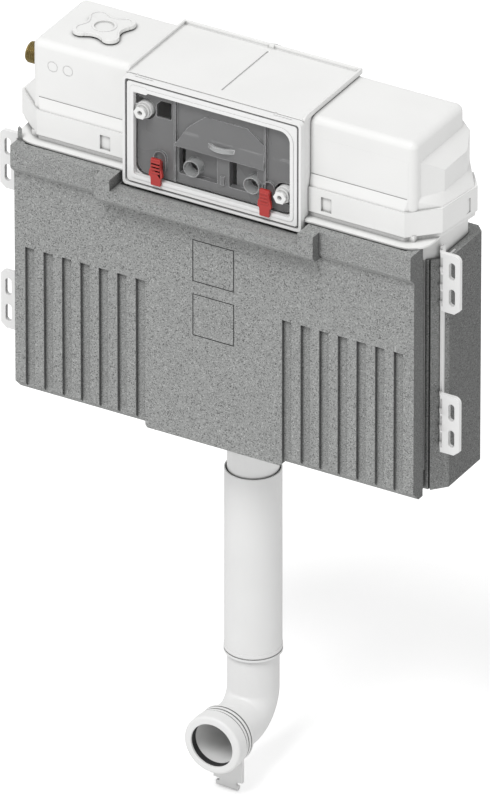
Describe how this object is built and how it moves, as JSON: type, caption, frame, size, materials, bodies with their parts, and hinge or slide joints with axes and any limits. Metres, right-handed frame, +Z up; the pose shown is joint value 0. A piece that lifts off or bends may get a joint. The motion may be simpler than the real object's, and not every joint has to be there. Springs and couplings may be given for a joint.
{
  "type": "toilet cistern",
  "caption": "Concealed in-wall toilet cistern with white tank, grey foam jacket, inspection shaft with smoked guard, flush valve, fill valve, flush pipe, sleeve and bend",
  "frame": {"origin": "in the plane of the wall behind the tank, on the centre line, midway between the upper and the lower fixing tabs", "axes": "+X to the right as seen from the room, +Y into the wall, +Z up"},
  "size_m": [0.496, 0.134, 0.7656],
  "materials": {
    "tank_plastic": "smooth white moulded plastic, slightly soft sheen",
    "foam": "rough speckled grey bead foam",
    "white_plastic": "satin white moulded plastic",
    "smoke_plastic": "smoked translucent plastic",
    "clear_plastic": "cloudy translucent plastic",
    "red_plastic": "satin red moulded plastic",
    "grey_plastic": "light grey moulded plastic",
    "brass_metal": "turned brass",
    "seal_rubber": "matte black rubber",
    "hose_cover": "grey braided hose cover",
    "steel": "drawn steel",
    "pipe_plastic": "satin off-white pipe plastic"
  },
  "bodies": {
    "casing": {"tank_shell": "tank_plastic", "jacket_front": "foam", "jacket_rear": "foam", "bracket_left": "white_plastic", "bracket_right": "white_plastic", "inspection_shaft": "white_plastic", "guard_frame": "white_plastic", "plate_studs": "white_plastic", "cap_seal": "seal_rubber", "inlet_nipple": "brass_metal", "inlet_gasket": "seal_rubber", "inlet_nut": "brass_metal", "stop_valve_body": "white_plastic", "hose_nuts": "steel", "supply_hose": "hose_cover", "fill_valve_body": "white_plastic", "fill_valve_bracket": "white_plastic", "outlet_seat": "white_plastic", "outlet_gasket": "seal_rubber", "outlet_nut": "white_plastic", "valve_cage": "white_plastic", "lever_carrier": "grey_plastic", "lever_axle": "steel", "flush_pipe": "pipe_plastic", "pipe_seals": "seal_rubber", "pipe_sleeve": "pipe_plastic", "flush_bend": "pipe_plastic", "bend_collar": "pipe_plastic", "collar_seal": "seal_rubber"},
    "lid": {"shaft_lid": "white_plastic"},
    "guard": {"splash_guard": "smoke_plastic", "guard_handle": "clear_plastic", "rod_guides": "clear_plastic"},
    "left_latch": {"latch_left": "red_plastic"},
    "right_latch": {"latch_right": "red_plastic"},
    "cap": {"blanking_cap": "white_plastic"},
    "knob": {"stop_valve_knob": "grey_plastic"},
    "float": {"fill_float": "white_plastic"},
    "pilot_lever": {"float_lever": "white_plastic"},
    "full_valve": {"overflow_tube": "white_plastic", "valve_seal": "seal_rubber", "full_lift_rod": "white_plastic"},
    "part_float": {"part_flush_float": "white_plastic"},
    "full_lever": {"full_flush_lever": "grey_plastic"},
    "part_lever": {"part_flush_lever": "grey_plastic"}
  },
  "joints": [
    {"name": "lid_lift", "type": "slide", "parent": "casing", "child": "lid", "axis": [0, 0, 1], "range_m": [0, 0.04]},
    {"name": "guard_pull", "type": "slide", "parent": "casing", "child": "guard", "axis": [0, -1, 0], "range_m": [0, 0.05]},
    {"name": "left_latch_slide", "type": "slide", "parent": "guard", "child": "left_latch", "axis": [0, 0, 1], "range_m": [0, 0.008]},
    {"name": "right_latch_slide", "type": "slide", "parent": "guard", "child": "right_latch", "axis": [0, 0, 1], "range_m": [0, 0.008]},
    {"name": "cap_turn", "type": "hinge", "parent": "casing", "child": "cap", "pos_m": [-0.155, -0.05, 0.22], "axis": [0, 0, 1], "range_deg": [0, 90]},
    {"name": "stop_valve_turn", "type": "hinge", "parent": "casing", "child": "knob", "pos_m": [-0.15, -0.07, 0.188], "axis": [1, 0, 0], "range_deg": [0, 90]},
    {"name": "float_rise", "type": "slide", "parent": "casing", "child": "float", "axis": [0, 0, 1], "range_m": [0, 0.008]},
    {"name": "float_lever_swing", "type": "hinge", "parent": "casing", "child": "pilot_lever", "pos_m": [-0.13496, -0.03996, 0.177], "axis": [0, -1, 0], "range_deg": [0, 12.8]},
    {"name": "full_lever_swing", "type": "hinge", "parent": "casing", "child": "full_lever", "pos_m": [0, -0.08, 0.1605], "axis": [1, 0, 0], "range_deg": [0, 18.6]},
    {"name": "valve_lift", "type": "slide", "parent": "casing", "child": "full_valve", "axis": [0, 0, 1], "range_m": [0, 0.0125]},
    {"name": "part_lever_swing", "type": "hinge", "parent": "casing", "child": "part_lever", "pos_m": [0, -0.08, 0.1605], "axis": [1, 0, 0], "range_deg": [0, 12]},
    {"name": "part_float_lift", "type": "slide", "parent": "casing", "child": "part_float", "axis": [0, 0, 1], "range_m": [0, 0.008]}
  ],
  "couplings": [
    {"joint": "float_lever_swing", "follows": "float_rise", "rad_per_m": 27.78},
    {"joint": "full_lever_swing", "follows": "valve_lift", "rad_per_m": 25},
    {"joint": "part_lever_swing", "follows": "part_float_lift", "rad_per_m": 25}
  ]
}
